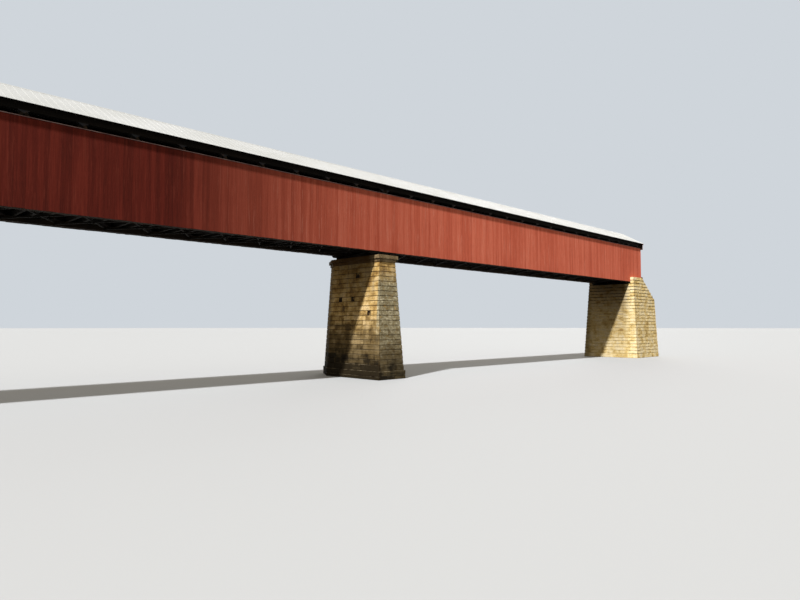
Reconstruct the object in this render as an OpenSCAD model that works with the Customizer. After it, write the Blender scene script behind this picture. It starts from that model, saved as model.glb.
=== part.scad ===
// Covered timber bridge of two spans on a stone pier and two stone abutments, as a 1:10 scale model.
// All sizes are millimetres of the model, so ten of them are a centimetre of the real bridge.
// The origin is the middle of the pier's foot. +X runs along the bridge, +Z is up, and the pier's
// pointed end lies on +Y. The near side is -Y, the left end is -X and the right end is +X.

/* [Bridge] */
// Length over the end walls
bridge_len = 11000; // [9000:50:13500]
// Width over the side boards
body_w = 605; // [500:1:760]
// Height of the bearings above the foot of the pier
seat_z = 1117; // [880:1:1400]

/* [Trusses] */
// Clear height between the lower and the upper chords
truss_h = 536; // [440:1:650]
// Panels in each span
panels = 17; // [10:1:19]
// Distance from the middle of the pier to the first panel point
truss_start = 30; // [28:1:60]
// Length of the house beyond the last panel point
porch_len = 88; // [84:1:330]
// Width of one chord stick or brace
stick_w = 15; // [10:0.5:18]
// Gap between the sticks, where the rods pass
stick_gap = 6; // [5:0.5:8]
// Depth of the chord sticks
chord_d = 35; // [28:1:45]
// Depth of the braces
brace_d = 18; // [12:1:22]
// Diameter of the iron tension rods
rod_d = 4; // [3:0.1:4.8]
// Diameter of the washers and nuts on the rods
washer_d = 10; // [8:0.5:12]
// Width of the posts that close each truss and frame the portals
post_w = 20; // [16:1:24]

/* [Floor] */
// Height of the timbers that lie on the stone across the bridge
bed_h = 16; // [10:1:24]
// Height of the bolsters between these timbers and the chords
bolster_h = 18; // [12:1:24]
// Width of a floor beam
beam_w = 18; // [12:1:24]
// Depth of a floor beam
beam_d = 32; // [24:1:40]
// Depth of the stringers on the floor beams
stringer_d = 15; // [10:1:20]
// Rows of stringers, an even number
stringer_rows = 6; // [4:2:8]
// Thickness of the deck planks
deck_t = 6; // [4:0.5:8]
// Thickness of the running boards
track_t = 4; // [2:0.5:6]
// Width of one running track
track_w = 60; // [40:1:80]
// Distance from the middle of the road to the middle of a track
track_y = 75; // [55:1:95]

/* [Walls] */
// Thickness of the side boards and end boards
board_t = 2.5; // [2:0.1:4]
// Thickness of the nailing rails behind the side boards
nailer_t = 5; // [4:0.5:7]
// Height of a nailing rail
nailer_h = 10; // [8:0.5:14]
// Distance that the side boards hang below the lower chords
board_drop = 2; // [0:0.5:8]
// Thickness of the rail on top of the side boards
cap_t = 4; // [3:0.5:6]
// Height of the open strip between that rail and the upper chords
strip_h = 36; // [24:1:60]
// Distance from the upper chords down to the head of the portal
portal_drop = 67; // [50:1:130]
// Width of the casing boards around the portal
casing_w = 14; // [8:0.5:20]

/* [Roof] */
// Height of the wall plates at their outer edge
plate_h = 7.2; // [5:0.1:20]
// Slope of the roof in degrees
roof_pitch = 29.2; // [22:0.1:36]
// Reach of the eaves beyond the side boards
eave_reach = 45; // [30:1:70]
// Reach of the roof beyond the end walls
gable_reach = 25; // [15:1:50]
// Depth of a rafter
rafter_d = 15; // [10:0.5:20]
// Thickness of a rafter
rafter_w = 5; // [4:0.5:8]
// Thickness of the roof boards
sheathing_t = 2.5; // [2:0.1:4]
// Thickness of the sheet metal with its ribs
metal_t = 1; // [0.8:0.1:2]

/* [Pier] */
// Length of the pier's top along the bridge, below the coping
pier_l = 200; // [160:1:260]
// Reach of the pier's top beyond each wall of boards, without the pointed end
pier_margin = 24.5; // [10:0.5:60]
// Half of the angle at the pointed end
nose_angle = 32.7; // [28:0.1:45]
// Inward lean of the stone faces for each unit of height
batter = 0.057; // [0.02:0.001:0.08]
// Height of the footing course
footing_h = 75; // [40:1:110]
// Reach of the footing beyond the pier's faces
footing_reach = 10; // [5:0.5:20]
// Height of the upper coping course
coping_h = 34; // [25:1:60]
// Reach of the upper coping course beyond the shaft
coping_reach = 20; // [10:1:30]
// Height of the lower coping course
necking_h = 27; // [20:1:40]
// Reach of the lower coping course beyond the shaft
necking_reach = 8; // [4:1:9]

/* [Abutments] */
// Length of the stone seat under the end of the bridge
seat_l = 396; // [330:1:470]
// Thickness of the wall behind the seat
backwall_t = 60; // [40:1:90]
// Thickness of a wing wall at its top
wing_t = 49; // [40:1:70]
// Distance that the wing walls' tops lie below the road
wing_drop = 23; // [0:1:60]
// Steps down on each wing wall
wing_steps = 7; // [3:1:9]
// Rise of one step, which is a course of stone
step_h = 44; // [30:1:60]
// Tread of one step
step_l = 58; // [40:1:80]

/* [Hidden] */

stone = "#bfa97c";
pale_stone = "#cdbb92";
weathered = "#6b5c4d";
dark_timber = "#4a3d33";
red_board = "#8e2f29";
grey_rail = "#7d6a6a";
white_metal = "#e9e9e6";
iron = "#3a3a3c";

// Places along the bridge
half_len = bridge_len / 2;
inner_end = half_len - board_t;
end_joint = 4;
span_joint = 4;
panel_l = (half_len - porch_len - truss_start) / panels;
points = [for (i = [0:panels]) truss_start + i * panel_l];
last_point = points[panels];
post_set = 6;
end_post_x = last_point + post_set;
portal_set = 7.5;
portal_x = inner_end - portal_set - post_w;

// Places across the bridge, from the middle outwards
half_w = body_w / 2;
board_in = half_w - board_t;
truss_out = board_in - nailer_t;
truss_w = 3 * stick_w + 2 * stick_gap;
truss_in = truss_out - truss_w;
washer_room = 1;
plate_w = stick_w + stick_gap / 2 - washer_d / 2 - washer_room;
wall_joint = 3.5;
wing_in = half_w + wall_joint;
wing_out = wing_in + wing_t;

// Heights, from the stone upwards
bolster_z = seat_z + bed_h;
chord_z = bolster_z + bolster_h;
web_z = chord_z + chord_d;
top_chord_z = web_z + truss_h;
plate_z = top_chord_z + chord_d;
stringer_z = web_z + beam_d;
deck_z = stringer_z + stringer_d;
road_z = deck_z + deck_t;
board_z = chord_z - board_drop;
cap_z = top_chord_z - strip_h - cap_t;
head_z = top_chord_z - portal_drop;

// Roof lines: a height on the slope is measured from the rafters' lower edge
rise = tan(roof_pitch);
drip = 2.5;
rafter_set = 7.5;
eave_y = half_w + eave_reach;
sheathing_y = eave_y - drip;
rafter_y = eave_y - rafter_set;
under_rafter = 0;
under_sheathing = rafter_d / cos(roof_pitch);
under_metal = under_sheathing + sheathing_t / cos(roof_pitch);
over_metal = under_metal + metal_t / cos(roof_pitch);
ridge_reach = 16;
ridge_t = 1.6;
over_ridge = over_metal + ridge_t;

// Height of a roof line above the middle of the bridge at the distance y from it
function roof_z(y, line) = plate_z + plate_h + (truss_out - y) * rise + line;

// Braces: each ends square on the slope of an angle block, so both slopes follow the brace's lean
brace_len = sqrt(panel_l * panel_l + truss_h * truss_h);
brace_lean = atan(panel_l / truss_h);
block_toe = 1;
block_reach = brace_d / 2 / tan(brace_lean) + block_toe;
block_half = block_reach / sin(brace_lean);
block_h = block_reach / cos(brace_lean);

// Rods: each end has a washer, a nut and a little thread, and the cuts around it leave some room
washer_t = 2;
nut_h = 2.5;
thread_end = 0.5;
rod_end = washer_t + nut_h + thread_end;
rod_room = 0.5;
// How far a cut reaches past the surface that it starts from
past = 1;

// Outline of the pier, pushed out by d, with its pointed end on +Y
function pier_outline(d) =
    let (hx = pier_l / 2 + d)
    let (hy = half_w + pier_margin)
    let (shoulder = hy + d * (1 - cos(nose_angle)) / sin(nose_angle))
    let (tip = hy + (pier_l / 2 * cos(nose_angle) + d) / sin(nose_angle))
    [[-hx, -hy - d], [hx, -hy - d], [hx, shoulder], [0, tip], [-hx, shoulder]];
shaft_top = seat_z - coping_h - necking_h;
shaft_spread = batter * (shaft_top - footing_h);

// Abutments
seat_x = half_len - seat_l;
backwall_x = half_len + end_joint;
wing_z = road_z - wing_drop;
wing_set = 80;
wing_flat_end = half_len - wing_set;
wing_end = wing_flat_end + wing_steps * step_l;
sliver = 0.01;

// Copies for the other side and for the other end
module both_sides() {
    children();
    mirror([0, 1, 0]) children();
}
module both_ends() {
    children();
    mirror([1, 0, 0]) children();
}
// A cross-section drawn as (y, z), run from one x to another
module along_x(from, to) {
    translate([from, 0, 0]) rotate([90, 0, 90]) linear_extrude(to - from) children();
}
// A side view drawn as (x, z), run from one y to another
module along_y(from, to) {
    translate([0, to, 0]) rotate([90, 0, 0]) linear_extrude(to - from) children();
}
module box(x, y, z) {
    translate([x[0], y[0], z[0]]) cube([x[1] - x[0], y[1] - y[0], z[1] - z[0]]);
}

// Pier: a plain footing, a battered shaft and two projecting courses that carry the timbers
module pier_footing() {
    color(stone) linear_extrude(footing_h) polygon(pier_outline(shaft_spread + footing_reach));
}
module pier_shaft() {
    color(stone) hull() {
        translate([0, 0, footing_h]) linear_extrude(sliver) polygon(pier_outline(shaft_spread));
        translate([0, 0, shaft_top - sliver]) linear_extrude(sliver) polygon(pier_outline(0));
    }
}
module pier_coping() {
    color(pale_stone) translate([0, 0, shaft_top]) {
        linear_extrude(necking_h) polygon(pier_outline(necking_reach));
        translate([0, 0, necking_h]) linear_extrude(coping_h) polygon(pier_outline(coping_reach));
    }
}

// Abutments: a battered face up to the seat, a wall behind it, and stepped wing walls along its sides
function front_x(z) = seat_x - batter * (seat_z - z);
module abutment() {
    color(stone) along_y(-wing_in, wing_in)
        polygon([[front_x(0), 0], [backwall_x, 0], [backwall_x, seat_z], [seat_x, seat_z]]);
}
module backwall() {
    color(stone) box([backwall_x, backwall_x + backwall_t], [-wing_in, wing_in], [0, road_z]);
}
module wing_wall() {
    spread = batter * wing_z;
    face = [[front_x(0), 0], [front_x(wing_z), wing_z], [wing_flat_end, wing_z]];
    steps = [
        for (k = [1:wing_steps], corner = [0, 1])
            [wing_flat_end + (k - 1 + corner) * step_l, wing_z - k * step_h]
    ];
    color(stone) intersection() {
        along_y(wing_in, wing_out + spread)
            polygon(concat(face, steps, [[wing_end, 0]]));
        along_x(0, wing_end)
            polygon([[wing_in, 0], [wing_out + spread, 0], [wing_out, wing_z], [wing_in, wing_z]]);
    }
}
module left_abutment() mirror([1, 0, 0]) abutment();
module right_abutment() abutment();
module backwalls() both_ends() backwall();
module left_wing_walls() mirror([1, 0, 0]) both_sides() wing_wall();
module right_wing_walls() both_sides() wing_wall();

// Timbers that carry the trusses on the stone: four across each seat, the last one under the end posts,
// and on them bolsters with sloping ends over the water and a notch around each rod's nut
bed_w = 20;
bed_reach = board_in;
bed_rows = 4;
bed_edge = 25;
seat_edge = 36;
first_bed = seat_x + seat_edge;
last_bed = end_post_x + post_w / 2;
bolster_reach = 44;
bolster_tail = 20;
bolster_lip = 6;
bolster_slope = 16;
function spread_out(from, to) = [for (k = [0:bed_rows - 1]) from + k * (to - from) / (bed_rows - 1)];
module bed_timber(x) {
    box([x - bed_w / 2, x + bed_w / 2], [-bed_reach, bed_reach], [seat_z, bolster_z]);
}
module bed_timbers() {
    color(dark_timber) {
        for (x = spread_out(bed_edge - pier_l / 2, pier_l / 2 - bed_edge)) bed_timber(x);
        for (x = spread_out(first_bed, last_bed)) both_ends() bed_timber(x);
    }
}
// The cut end of a bolster, which points to -X, as (x, z)
function bolster_nose(x) = [[x + bolster_slope, bolster_z], [x, chord_z - bolster_lip], [x, chord_z]];
module bolsters() {
    pier_end = pier_l / 2 + bolster_reach;
    tail = last_bed + bolster_tail;
    notch = washer_d / 2 + rod_room;
    color(dark_timber) both_sides() difference() {
        union() {
            along_y(truss_in, truss_out) polygon(concat(
                bolster_nose(-pier_end),
                [[pier_end, chord_z], [pier_end, chord_z - bolster_lip], [pier_end - bolster_slope, bolster_z]]
            ));
            both_ends() along_y(truss_in, truss_out)
                polygon(concat(bolster_nose(seat_x - bolster_reach), [[tail, chord_z], [tail, bolster_z]]));
        }
        both_ends() for (i = [1:panels - 1])
            box([points[i] - notch, points[i] + notch], [truss_in - past, truss_out + past],
                [chord_z - rod_end - rod_room, chord_z + past]);
    }
}

// Trusses: three sticks to a chord, braces in pairs, single counters between them, and paired rods
function stick_y(k) = truss_in + k * (stick_w + stick_gap);
module chord(z) {
    for (k = [0:2])
        box([span_joint, inner_end], [stick_y(k), stick_y(k) + stick_w], [z, z + chord_d]);
}
module all_trusses() both_sides() both_ends() children();
module lower_chords() color(weathered) all_trusses() chord(chord_z);
module upper_chords() color(weathered) all_trusses() chord(top_chord_z);
module end_posts() {
    color(weathered) all_trusses() for (x = [points[0] - post_set - post_w, end_post_x])
        box([x, x + post_w], [truss_in, truss_out], [web_z, top_chord_z]);
}
// A brace from the foot of one panel point to the head of the next one, lean is 1 or -1
module brace(x, lean, k) {
    translate([x, stick_y(k), web_z]) rotate([0, lean * brace_lean, 0])
        translate([-brace_d / 2, 0, block_reach]) cube([brace_d, stick_w, brace_len - 2 * block_reach]);
}
module main_braces() {
    color(weathered) all_trusses() for (i = [0:panels - 1], k = [0, 2])
        if (i < panels / 2) brace(points[i], 1, k); else brace(points[i + 1], -1, k);
}
module counter_braces() {
    color(weathered) all_trusses() for (i = [0:panels - 1])
        if (i < panels / 2) brace(points[i + 1], -1, 1); else brace(points[i], 1, 1);
}
// Iron wedge between the braces and a chord, with slots for the rods. The end ones are halves.
module angle_block(outline) {
    slot = rod_d / 2 + rod_room;
    difference() {
        along_y(truss_in, truss_out) polygon(outline);
        for (k = [0, 1])
            box([-block_half - past, slot], [stick_y(k) + stick_w, stick_y(k + 1)], [-past, block_h + past]);
    }
}
module angle_blocks() {
    whole = [[-block_half, 0], [block_half, 0], [0, block_h]];
    half = [[-post_set, 0], [block_half, 0], [0, block_h], [-post_set, block_h]];
    color(iron) all_trusses() for (level = [0, 1])
        translate([0, 0, web_z + level * truss_h]) mirror([0, 0, level]) {
            for (i = [1:panels - 1]) translate([points[i], 0, 0]) angle_block(whole);
            translate([points[0], 0, 0]) angle_block(half);
            translate([last_point, 0, 0]) mirror([1, 0, 0]) angle_block(half);
        }
}
// A rod passes between two sticks of both chords, with a washer and a nut outside each chord
module tension_rod() {
    nut_d = rod_d + 3;
    translate([0, 0, chord_z - rod_end])
        cylinder(h = plate_z - chord_z + 2 * rod_end, d = rod_d, $fn = 16);
    for (z = [chord_z - washer_t, plate_z])
        translate([0, 0, z]) cylinder(h = washer_t, d = washer_d, $fn = 24);
    for (z = [chord_z - washer_t - nut_h, plate_z + washer_t])
        translate([0, 0, z]) cylinder(h = nut_h, d = nut_d, $fn = 6);
}
module tension_rods() {
    color(iron) all_trusses() for (i = [1:panels - 1], k = [0, 1])
        translate([points[i], stick_y(k) + stick_w + stick_gap / 2, 0]) tension_rod();
}

// Crossed braces in the plane of the chords, one stick of each cross passing just over the other
lateral_w = 10;
lateral_d = 10;
lateral_gap = 0.5;
module lateral_crosses(z) {
    cut = lateral_w / 2 * sqrt(1 + pow(panel_l / (2 * truss_in), 2));
    for (i = [0:panels - 1], way = [0, 1])
        let (start = points[i + way])
        let (finish = points[i + 1 - way])
        translate([0, 0, z + way * (lateral_d + lateral_gap)]) linear_extrude(lateral_d)
            polygon([
                [start - cut, -truss_in], [start + cut, -truss_in],
                [finish + cut, truss_in], [finish - cut, truss_in]
            ]);
}
lateral_set = (chord_d - 2 * lateral_d - lateral_gap) / 2;
module lower_laterals() color(dark_timber) both_ends() lateral_crosses(chord_z + lateral_set);
module upper_laterals() color(weathered) both_ends() lateral_crosses(top_chord_z + lateral_set);

// Floor: beams on the lower chords, stringers on the beams, planks and running boards on the stringers.
// One more beam lies between the end posts and the portal.
beams_per_panel = 4;
beam_pitch = panel_l / beams_per_panel;
end_beam_x = (end_post_x + post_w + portal_x) / 2;
porch_beams = floor((end_beam_x - beam_w - last_point) / beam_pitch);
module floor_beam(x) {
    box([x - beam_w / 2, x + beam_w / 2], [-truss_out, truss_out], [web_z, stringer_z]);
}
module floor_beams() {
    color(dark_timber) both_ends() {
        for (i = [0:panels - 1], k = [1:beams_per_panel - 1]) floor_beam(points[i] + k * beam_pitch);
        for (k = [1:1:porch_beams]) floor_beam(last_point + k * beam_pitch);
        floor_beam(end_beam_x);
    }
}
stringer_w = 10;
stringer_set = 30;
deck_gap = 8;
deck_side = truss_in - deck_gap;
stringer_pitch = 2 * (deck_side - stringer_set) / (stringer_rows - 1);
module stringers() {
    color(dark_timber) for (k = [0:stringer_rows - 1])
        let (y = (k - (stringer_rows - 1) / 2) * stringer_pitch - stringer_w / 2)
        both_ends() box([span_joint, inner_end], [y, y + stringer_w], [stringer_z, deck_z]);
}
module deck() color(weathered) box([-inner_end, inner_end], [-deck_side, deck_side], [deck_z, road_z]);
module running_boards() {
    track_in = track_y - track_w / 2;
    color(weathered) both_sides()
        box([-inner_end, inner_end], [track_in, track_in + track_w], [road_z, road_z + track_t]);
}
curb_w = 12;
curb_h = 12;
curb_set = 2;
module curbs() {
    curb_out = deck_side - curb_set;
    color(weathered) both_sides()
        box([-inner_end, inner_end], [curb_out - curb_w, curb_out], [road_z, road_z + curb_h]);
}

// Roof frame: beams across the upper chords, bevelled plates along them, and three rafter pairs to a panel
tie_w = 18;
tie_h = 20;
tie_room = 4;
tie_set = washer_d / 2 + tie_room;
plate_in = truss_out - plate_w;
rafter_pitch = panel_l / 3;
end_rafter_set = 5;
rafter_room = 20;
porch_rafters = floor((porch_len - rafter_room) / rafter_pitch + 0.5);
rafter_places = concat(
    [for (i = [0:panels * 3 - 1 + porch_rafters]) truss_start + (i + 0.5) * rafter_pitch],
    [inner_end - end_rafter_set]
);
module tie_beams() {
    color(weathered) both_ends() for (i = [0:panels])
        let (x = i < panels ? points[i] + tie_set : points[i] - tie_set - tie_w)
        box([x, x + tie_w], [-plate_in, plate_in], [plate_z, plate_z + tie_h]);
}
module wall_plates() {
    color(weathered) both_sides() along_x(-inner_end, inner_end) polygon([
        [plate_in, plate_z], [truss_out, plate_z],
        [truss_out, roof_z(truss_out, under_rafter)], [plate_in, roof_z(plate_in, under_rafter)]
    ]);
}
// One slope's layer between two roof lines, from the ridge out to y
module slope_section(low, high, y, ridge_y = 0) {
    polygon([
        [ridge_y, roof_z(ridge_y, low)], [y, roof_z(y, low)],
        [y, roof_z(y, high)], [ridge_y, roof_z(ridge_y, high)]
    ]);
}
module rafter(x) {
    along_x(x - rafter_w / 2, x + rafter_w / 2) slope_section(under_rafter, under_sheathing, rafter_y);
}
module rafters() {
    rafter(0);
    both_ends() for (x = rafter_places) rafter(x);
}
module near_rafters() color(weathered) mirror([0, 1, 0]) rafters();
module far_rafters() color(weathered) rafters();

// Walls: rails on the outside of the trusses, upright boards on the rails and a capping rail above them
nailer_rows = 4;
nailer_low = chord_z + nailer_h;
nailer_pitch = (cap_z - nailer_h - nailer_low) / (nailer_rows - 1);
cap_lip = 3.5;
cap_side = half_w + cap_lip;
module nailers() {
    color(weathered) both_sides() for (k = [0:nailer_rows - 1])
        let (z = nailer_low + k * nailer_pitch)
        box([-inner_end, inner_end], [truss_out, board_in], [z, z + nailer_h]);
}
module siding() box([-half_len, half_len], [board_in, half_w], [board_z, cap_z]);
module near_siding() color(red_board) mirror([0, 1, 0]) siding();
module far_siding() color(red_board) siding();
module cap_rails() {
    color(grey_rail) both_sides() box([-inner_end, inner_end], [truss_out, cap_side], [cap_z, cap_z + cap_t]);
}
corner_w = 12;
module corner_boards() {
    color(red_board) both_sides() both_ends() difference() {
        box([half_len - corner_w, half_len + board_t], [half_w - corner_w, half_w + board_t], [board_z, cap_z]);
        box([0, half_len], [0, half_w], [0, plate_z]);
    }
}

// Portals: posts on the lower chords, a beam between them with knees, and boards around the opening with
// casings on them. Above the side boards the end boards reach out and close the ends of the eaves, and
// there they hang a little below the side boards' top.
header_h = 25;
header_gap = 6;
header_z = head_z + header_gap;
knee_leg = 45;
knee_d = 12;
knee_set = 4;
knee_cut = knee_d * sqrt(2);
ear_joint = 0.3;
ear_in = half_w + board_t + ear_joint;
ear_drop = 20;
ear_z = cap_z - ear_drop;
casing_joint = 0.5;
module portal_posts() {
    color(weathered) all_trusses()
        box([portal_x, portal_x + post_w], [truss_in, truss_out], [web_z, top_chord_z]);
}
module portal_headers() {
    color(weathered) both_ends()
        box([portal_x, portal_x + post_w], [-truss_in, truss_in], [header_z, header_z + header_h]);
}
module portal_knees() {
    color(weathered) both_ends() both_sides() along_x(portal_x + knee_set, portal_x + post_w - knee_set)
        polygon([
            [truss_in - knee_leg, header_z], [truss_in, header_z - knee_leg],
            [truss_in, header_z - knee_leg + knee_cut], [truss_in - knee_leg + knee_cut, header_z]
        ]);
}
module gable() {
    half = [
        [board_in, head_z], [board_in, cap_z], [ear_in, cap_z], [ear_in, ear_z],
        [rafter_y, ear_z], [rafter_y, roof_z(rafter_y, under_sheathing)]
    ];
    other_half = [for (k = [len(half) - 1:-1:0]) [-half[k][0], half[k][1]]];
    color(red_board) along_x(inner_end, half_len)
        polygon(concat(half, [[0, roof_z(0, under_sheathing)]], other_half));
}
module left_gable() mirror([1, 0, 0]) gable();
module right_gable() gable();
module portal_jambs() {
    casing_out = truss_in + casing_w;
    casing_z = head_z + casing_joint;
    color(red_board) both_ends() {
        both_sides() {
            box([inner_end, half_len], [truss_in, board_in], [board_z, head_z]);
            box([half_len, half_len + board_t], [truss_in, casing_out], [road_z, head_z]);
        }
        box([half_len, half_len + board_t], [-casing_out, casing_out], [casing_z, casing_z + casing_w]);
    }
}

// Roof covering
roof_end = half_len + gable_reach;
barge_t = 2.5;
barge_d = 22;
module sheathing() along_x(-roof_end, roof_end) slope_section(under_sheathing, under_metal, sheathing_y);
module near_sheathing() color(weathered) mirror([0, 1, 0]) sheathing();
module far_sheathing() color(weathered) sheathing();
module roof_metal() along_x(-roof_end, roof_end) slope_section(under_metal, over_metal, eave_y);
module near_roof() color(white_metal) mirror([0, 1, 0]) roof_metal();
module far_roof() color(white_metal) roof_metal();
module ridge_cap() {
    low = roof_z(ridge_reach, over_metal);
    high = roof_z(ridge_reach, over_ridge);
    color(white_metal) along_x(-roof_end, roof_end) polygon([
        [-ridge_reach, low], [0, roof_z(0, over_metal)], [ridge_reach, low],
        [ridge_reach, high], [0, roof_z(0, over_ridge)], [-ridge_reach, high]
    ]);
}
// Boards that close the roof's ends, with a thin joint under the ridge
module bargeboards() {
    joint = 0.3;
    color(red_board) both_ends() both_sides() along_x(roof_end - barge_t, roof_end)
        slope_section(under_sheathing - barge_d, under_sheathing, rafter_y, joint);
}

pier_footing();
pier_shaft();
pier_coping();
left_abutment();
right_abutment();
backwalls();
left_wing_walls();
right_wing_walls();
bed_timbers();
bolsters();
lower_chords();
upper_chords();
end_posts();
main_braces();
counter_braces();
tension_rods();
angle_blocks();
lower_laterals();
upper_laterals();
floor_beams();
stringers();
deck();
running_boards();
curbs();
tie_beams();
wall_plates();
near_rafters();
far_rafters();
nailers();
near_siding();
far_siding();
cap_rails();
corner_boards();
portal_posts();
portal_headers();
portal_knees();
left_gable();
right_gable();
portal_jambs();
near_sheathing();
far_sheathing();
near_roof();
far_roof();
ridge_cap();
bargeboards();
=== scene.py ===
"""Looks of the covered bridge: sandstone, timber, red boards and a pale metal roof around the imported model."""

import math
import random

import bmesh
import bpy
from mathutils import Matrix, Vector


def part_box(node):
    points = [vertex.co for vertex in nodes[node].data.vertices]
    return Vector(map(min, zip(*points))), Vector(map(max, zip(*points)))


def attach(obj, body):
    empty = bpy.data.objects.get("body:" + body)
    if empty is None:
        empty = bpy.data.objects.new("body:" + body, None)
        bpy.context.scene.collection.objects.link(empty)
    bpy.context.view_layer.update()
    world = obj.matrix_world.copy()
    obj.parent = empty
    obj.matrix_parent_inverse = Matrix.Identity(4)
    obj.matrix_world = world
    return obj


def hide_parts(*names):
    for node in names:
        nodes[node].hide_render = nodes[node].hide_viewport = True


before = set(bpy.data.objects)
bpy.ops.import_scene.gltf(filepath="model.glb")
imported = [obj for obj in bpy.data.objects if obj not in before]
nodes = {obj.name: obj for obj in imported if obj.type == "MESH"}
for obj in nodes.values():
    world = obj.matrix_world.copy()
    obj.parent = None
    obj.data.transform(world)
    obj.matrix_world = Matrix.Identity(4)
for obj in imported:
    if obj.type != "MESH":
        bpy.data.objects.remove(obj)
scene = bpy.context.scene
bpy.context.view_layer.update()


# Stonework: sandstone blocks in level courses, split to a rough face and bedded in lime mortar that
# has weathered back to deep, dark bed joints. The faces lean in as they rise. Lichen greys the near
# end of the pier, and the pier's lowest courses are stained almost black.
COURSE = 0.044
ABUTMENT_COURSE = 0.048
LEAST_COURSE = 0.6
BLOCK_LENGTH = 0.095
LENGTH_SPREAD = (0.66, 1.34)
BED_JOINT = 0.003
ABUTMENT_BED_JOINT = 0.007
END_JOINT = 0.0006
LENGTH_KEPT = 0.992
RELIEF = 0.005
RELIEF_SPREAD = (0.62, 1.1)
LUMP_SIZE = 0.03
CHIPS_IN_A_METRE = 90.0
FACE_DETAIL = 2
HOLE_WIDTH = 0.052
LOWEST_HOLE = 0.5
NEAR_ARRIS_X = (-0.155, -0.125)
LICHEN_TOP_Z = (0.84, 1.0)
# Painted shade under the deck reaches up to this height, between these places across the bridge.
DECK_SHADE_Z = 1.08
DECK_SHADE_Y = ((-0.31, -0.2), (0.62, 0.3))
SHADY_SIDE_Y = (0.3, 0.36)


def linear(code):
    """An sRGB hex value as a linear colour."""
    channels = [int(code[i:i + 2], 16) / 255 for i in (1, 3, 5)]
    return [c / 12.92 if c <= 0.04045 else ((c + 0.055) / 1.055) ** 2.4 for c in channels] + [1.0]


def socket(sockets, key):
    """A node's socket by number, by identifier or by name."""
    if isinstance(key, int):
        return sockets[key]
    for found in sockets:
        if found.identifier == key:
            return found
    return sockets[key]


def add(tree, kind, inputs=None, **settings):
    """Adds a node with its settings. inputs holds a value or another node's output for each socket."""
    made = tree.nodes.new(kind)
    for name, value in settings.items():
        setattr(made, name, value)
    for key, value in (inputs or {}).items():
        if isinstance(value, bpy.types.NodeSocket):
            tree.links.new(value, socket(made.inputs, key))
        else:
            socket(made.inputs, key).default_value = value
    return made


def mix(tree, amount, first, second, blend="MIX"):
    """The colour between two others, by a number or an output."""
    made = add(tree, "ShaderNodeMix", {"Factor_Float": amount, "A_Color": first, "B_Color": second},
               data_type="RGBA", blend_type=blend)
    return socket(made.outputs, "Result_Color")


def between(tree, value, start, end, low, high):
    """A number that goes from low to high while another goes from start to end."""
    return add(tree, "ShaderNodeMapRange", {0: value, 1: start, 2: end, 3: low, 4: high}).outputs[0]


def maths(tree, operation, *values):
    """A number worked out from others, by numbers or outputs."""
    return add(tree, "ShaderNodeMath", dict(enumerate(values)), operation=operation).outputs[0]


def object_place(tree):
    """The place on the object, which stays the same however the object is seen."""
    return add(tree, "ShaderNodeTexCoord").outputs["Object"]


def stretched(tree, place, scale):
    """A place with each of its directions scaled, which draws out a pattern along the smallest."""
    return add(tree, "ShaderNodeMapping", {"Vector": place, "Scale": scale}).outputs[0]


def noise(tree, place, scale, detail, roughness=0.5):
    """A number around 0.5 that wanders from place to place."""
    return add(tree, "ShaderNodeTexNoise", {"Vector": place, "Scale": scale, "Detail": detail,
                                            "Roughness": roughness}).outputs[0]


def ramp(tree, value, stops):
    """Colours along a number from 0 to 1."""
    made = add(tree, "ShaderNodeValToRGB", {"Fac": value})
    elements = made.color_ramp.elements
    while len(elements) < len(stops):
        elements.new(0.5)
    for element, (place, colour) in zip(elements, stops):
        element.position = place
        element.color = linear(colour)
    return made.outputs["Color"]


def new_finish(name):
    """A material with a Principled shader, and its tree."""
    material = bpy.data.materials.new(name)
    material.use_nodes = True
    tree = material.node_tree
    tree.nodes.clear()
    shader = add(tree, "ShaderNodeBsdfPrincipled")
    add(tree, "ShaderNodeOutputMaterial", {"Surface": shader.outputs["BSDF"]})
    return material, tree, shader


def coat(tree, shader, colour, roughness, specular=0.5):
    """Gives a shader its colour, how dull it is and how strongly it reflects."""
    tree.links.new(colour, shader.inputs["Base Color"])
    shader.inputs["Roughness"].default_value = roughness
    shader.inputs["Specular IOR Level"].default_value = specular


def emboss(tree, shader, *layers):
    """Raises a shader's surface by layers of (height, strength, distance), one over the other."""
    below = {}
    for height, strength, distance in layers:
        bump = add(tree, "ShaderNodeBump", {"Height": height, "Strength": strength, "Distance": distance, **below})
        below = {"Normal": bump.outputs[0]}
    tree.links.new(below["Normal"], shader.inputs["Normal"])


def new_object(name, data):
    """A new object in the scene."""
    made = bpy.data.objects.new(name, data)
    scene.collection.objects.link(made)
    return made


def add_piece(piece, slot, *members):
    """Fixes a finished piece to the bridge in the place of some CAD nodes."""
    if members:
        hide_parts(*members)
    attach(piece, "root")


def new_tree(name, sockets):
    """A Geometry Nodes tree with named inputs, and the outputs of its input node."""
    tree = bpy.data.node_groups.new(name, "GeometryNodeTree")
    tree.interface.new_socket("Geometry", in_out="OUTPUT", socket_type="NodeSocketGeometry")
    for label, kind in sockets.items():
        tree.interface.new_socket(label, in_out="INPUT", socket_type=kind)
    return tree, tree.nodes.new("NodeGroupInput").outputs


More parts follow.
